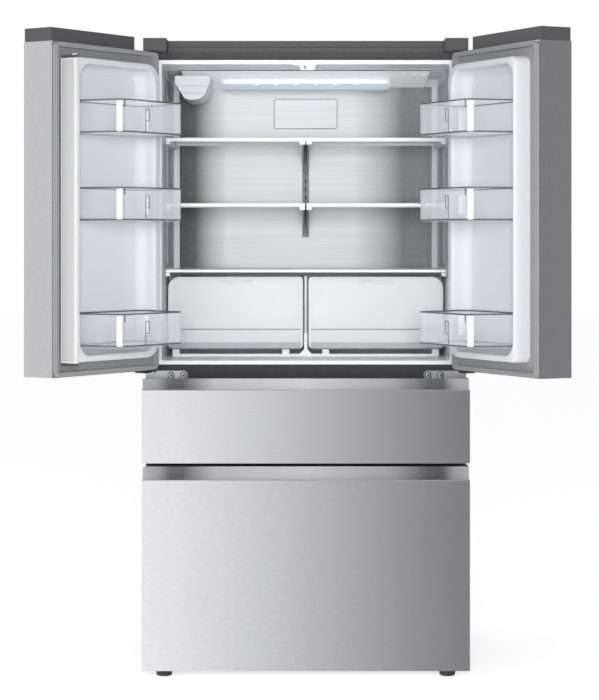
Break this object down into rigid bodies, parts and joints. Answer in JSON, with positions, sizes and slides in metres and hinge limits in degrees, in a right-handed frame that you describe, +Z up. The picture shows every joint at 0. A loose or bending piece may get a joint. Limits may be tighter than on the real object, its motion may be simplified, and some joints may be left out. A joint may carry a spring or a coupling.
{
  "type": "french door refrigerator",
  "caption": "Wide french door refrigerator: hinged upper doors over a shelved chilled room, and wide pull-out drawers with finger hollows below.",
  "frame": {"origin": "the middle of the footprint on the floor, with the doors as they stand open at rest", "axes": "+X to the right as seen from the front, +Y from the doors to the back, +Z up"},
  "size_m": [1.4482, 1.1191, 1.784],
  "materials": {
    "brushed_steel": "brushed stainless, fine straight grain",
    "grey_paint": "satin dark grey",
    "white_plastic": "smooth white liner",
    "flap_plastic": "warm light grey, satin",
    "dark_plastic": "fine texture",
    "gasket_rubber": "soft matt grey, ribbed",
    "clear_plastic": "clear moulded",
    "shelf_glass": "polished tempered glass with white edge trims",
    "lens_plastic": "frosted translucent",
    "zinc_plate": "plated steel",
    "black_plastic": "matt black",
    "black_enamel": "semi-gloss black paint",
    "aluminium": "mill finish"
  },
  "bodies": {
    "cabinet": {"outer_case": "grey_paint", "rear_panel": "grey_paint", "base_frame": "zinc_plate", "fridge_liner": "white_plastic", "drawer_liner": "white_plastic", "freezer_liner": "white_plastic", "top_cover": "dark_plastic", "left_hinge_cover": "dark_plastic", "right_hinge_cover": "dark_plastic", "left_upper_hinge": "zinc_plate", "right_upper_hinge": "zinc_plate", "left_lower_hinge": "zinc_plate", "right_lower_hinge": "zinc_plate", "back_duct_panel": "brushed_steel", "air_filter_cover": "white_plastic", "ceiling_light_lens": "lens_plastic", "water_filter_housing": "white_plastic", "shelf_ladder": "white_plastic", "upper_shelf_bracket": "dark_plastic", "lower_shelf_bracket": "dark_plastic", "upper_left_shelf": "shelf_glass", "upper_right_shelf": "shelf_glass", "lower_left_shelf": "shelf_glass", "lower_right_shelf": "shelf_glass", "crisper_cover": "shelf_glass", "crisper_base": "white_plastic", "compressor": "black_enamel", "condenser": "black_enamel", "machine_cover": "black_plastic", "evaporator": "aluminium"},
    "left_door": {"left_door_skin": "brushed_steel", "left_door_liner": "white_plastic", "left_door_cap": "dark_plastic", "left_door_gasket": "gasket_rubber"},
    "right_door": {"right_door_skin": "brushed_steel", "right_door_liner": "white_plastic", "right_door_cap": "dark_plastic", "right_door_gasket": "gasket_rubber"},
    "mullion": {"mullion_flap": "flap_plastic"},
    "drawer": {"drawer_front": "brushed_steel", "drawer_box": "white_plastic", "drawer_gasket": "gasket_rubber"},
    "freezer_drawer": {"freezer_front": "brushed_steel", "freezer_basket": "white_plastic", "freezer_gasket": "gasket_rubber"},
    "freezer_tray": {"freezer_tray": "clear_plastic"},
    "left_crisper": {"left_crisper": "clear_plastic"},
    "right_crisper": {"right_crisper": "clear_plastic"},
    "left_upper_bin": {"left_upper_bin": "clear_plastic"},
    "left_middle_bin": {"left_middle_bin": "clear_plastic"},
    "left_lower_bin": {"left_lower_bin": "clear_plastic"},
    "right_upper_bin": {"right_upper_bin": "clear_plastic"},
    "right_middle_bin": {"right_middle_bin": "clear_plastic"},
    "right_lower_bin": {"right_lower_bin": "clear_plastic"},
    "left_front_foot": {"left_front_foot": "black_plastic"},
    "right_front_foot": {"right_front_foot": "black_plastic"},
    "left_rear_roller": {"left_rear_roller": "black_plastic"},
    "right_rear_roller": {"right_rear_roller": "black_plastic"},
    "condenser_fan": {"condenser_fan": "black_plastic"},
    "evaporator_fan": {"evaporator_fan": "black_plastic"}
  },
  "joints": [
    {"name": "left_door_hinge", "type": "hinge", "parent": "cabinet", "child": "left_door", "pos_m": [-0.41501, -0.1517, 0.8574], "axis": [0, 0, -1], "range_deg": [-124.4, 5.6]},
    {"name": "right_door_hinge", "type": "hinge", "parent": "cabinet", "child": "right_door", "pos_m": [0.46299, -0.1517, 0.8574], "axis": [0, 0, 1], "range_deg": [-116.3, 13.7]},
    {"name": "mullion_hinge", "type": "hinge", "parent": "left_door", "child": "mullion", "pos_m": [-0.61567, -0.51909, 0.8574], "axis": [0, 0, 1], "range_deg": [-90, 0]},
    {"name": "drawer_slide", "type": "slide", "parent": "cabinet", "child": "drawer", "axis": [0, -1, 0], "range_m": [0, 0.46]},
    {"name": "freezer_slide", "type": "slide", "parent": "cabinet", "child": "freezer_drawer", "axis": [0, -1, 0], "range_m": [0, 0.46]},
    {"name": "freezer_tray_slide", "type": "slide", "parent": "freezer_drawer", "child": "freezer_tray", "axis": [0, 1, 0], "range_m": [0, 0.2]},
    {"name": "left_crisper_slide", "type": "slide", "parent": "cabinet", "child": "left_crisper", "axis": [0, -1, 0], "range_m": [0, 0.26]},
    {"name": "right_crisper_slide", "type": "slide", "parent": "cabinet", "child": "right_crisper", "axis": [0, -1, 0], "range_m": [0, 0.26]},
    {"name": "left_upper_bin_lift", "type": "slide", "parent": "left_door", "child": "left_upper_bin", "axis": [0, 0, 1], "range_m": [0, 0.05]},
    {"name": "left_middle_bin_lift", "type": "slide", "parent": "left_door", "child": "left_middle_bin", "axis": [0, 0, 1], "range_m": [0, 0.05]},
    {"name": "left_lower_bin_lift", "type": "slide", "parent": "left_door", "child": "left_lower_bin", "axis": [0, 0, 1], "range_m": [0, 0.05]},
    {"name": "right_upper_bin_lift", "type": "slide", "parent": "right_door", "child": "right_upper_bin", "axis": [0, 0, 1], "range_m": [0, 0.05]},
    {"name": "right_middle_bin_lift", "type": "slide", "parent": "right_door", "child": "right_middle_bin", "axis": [0, 0, 1], "range_m": [0, 0.05]},
    {"name": "right_lower_bin_lift", "type": "slide", "parent": "right_door", "child": "right_lower_bin", "axis": [0, 0, 1], "range_m": [0, 0.05]},
    {"name": "left_foot_turn", "type": "hinge", "parent": "cabinet", "child": "left_front_foot", "pos_m": [-0.37301, -0.1387, 0.015], "axis": [0, 0, 1], "continuous": true},
    {"name": "right_foot_turn", "type": "hinge", "parent": "cabinet", "child": "right_front_foot", "pos_m": [0.42099, -0.1387, 0.015], "axis": [0, 0, 1], "continuous": true},
    {"name": "left_roller_turn", "type": "hinge", "parent": "cabinet", "child": "left_rear_roller", "pos_m": [-0.33601, 0.4733, 0.016], "axis": [1, 0, 0], "continuous": true},
    {"name": "right_roller_turn", "type": "hinge", "parent": "cabinet", "child": "right_rear_roller", "pos_m": [0.38399, 0.4733, 0.016], "axis": [1, 0, 0], "continuous": true},
    {"name": "condenser_fan_spin", "type": "hinge", "parent": "cabinet", "child": "condenser_fan", "pos_m": [-0.05601, 0.4273, 0.1174], "axis": [1, 0, 0], "continuous": true},
    {"name": "evaporator_fan_spin", "type": "hinge", "parent": "cabinet", "child": "evaporator_fan", "pos_m": [0.02399, 0.4943, 1.281], "axis": [0, 1, 0], "continuous": true}
  ]
}
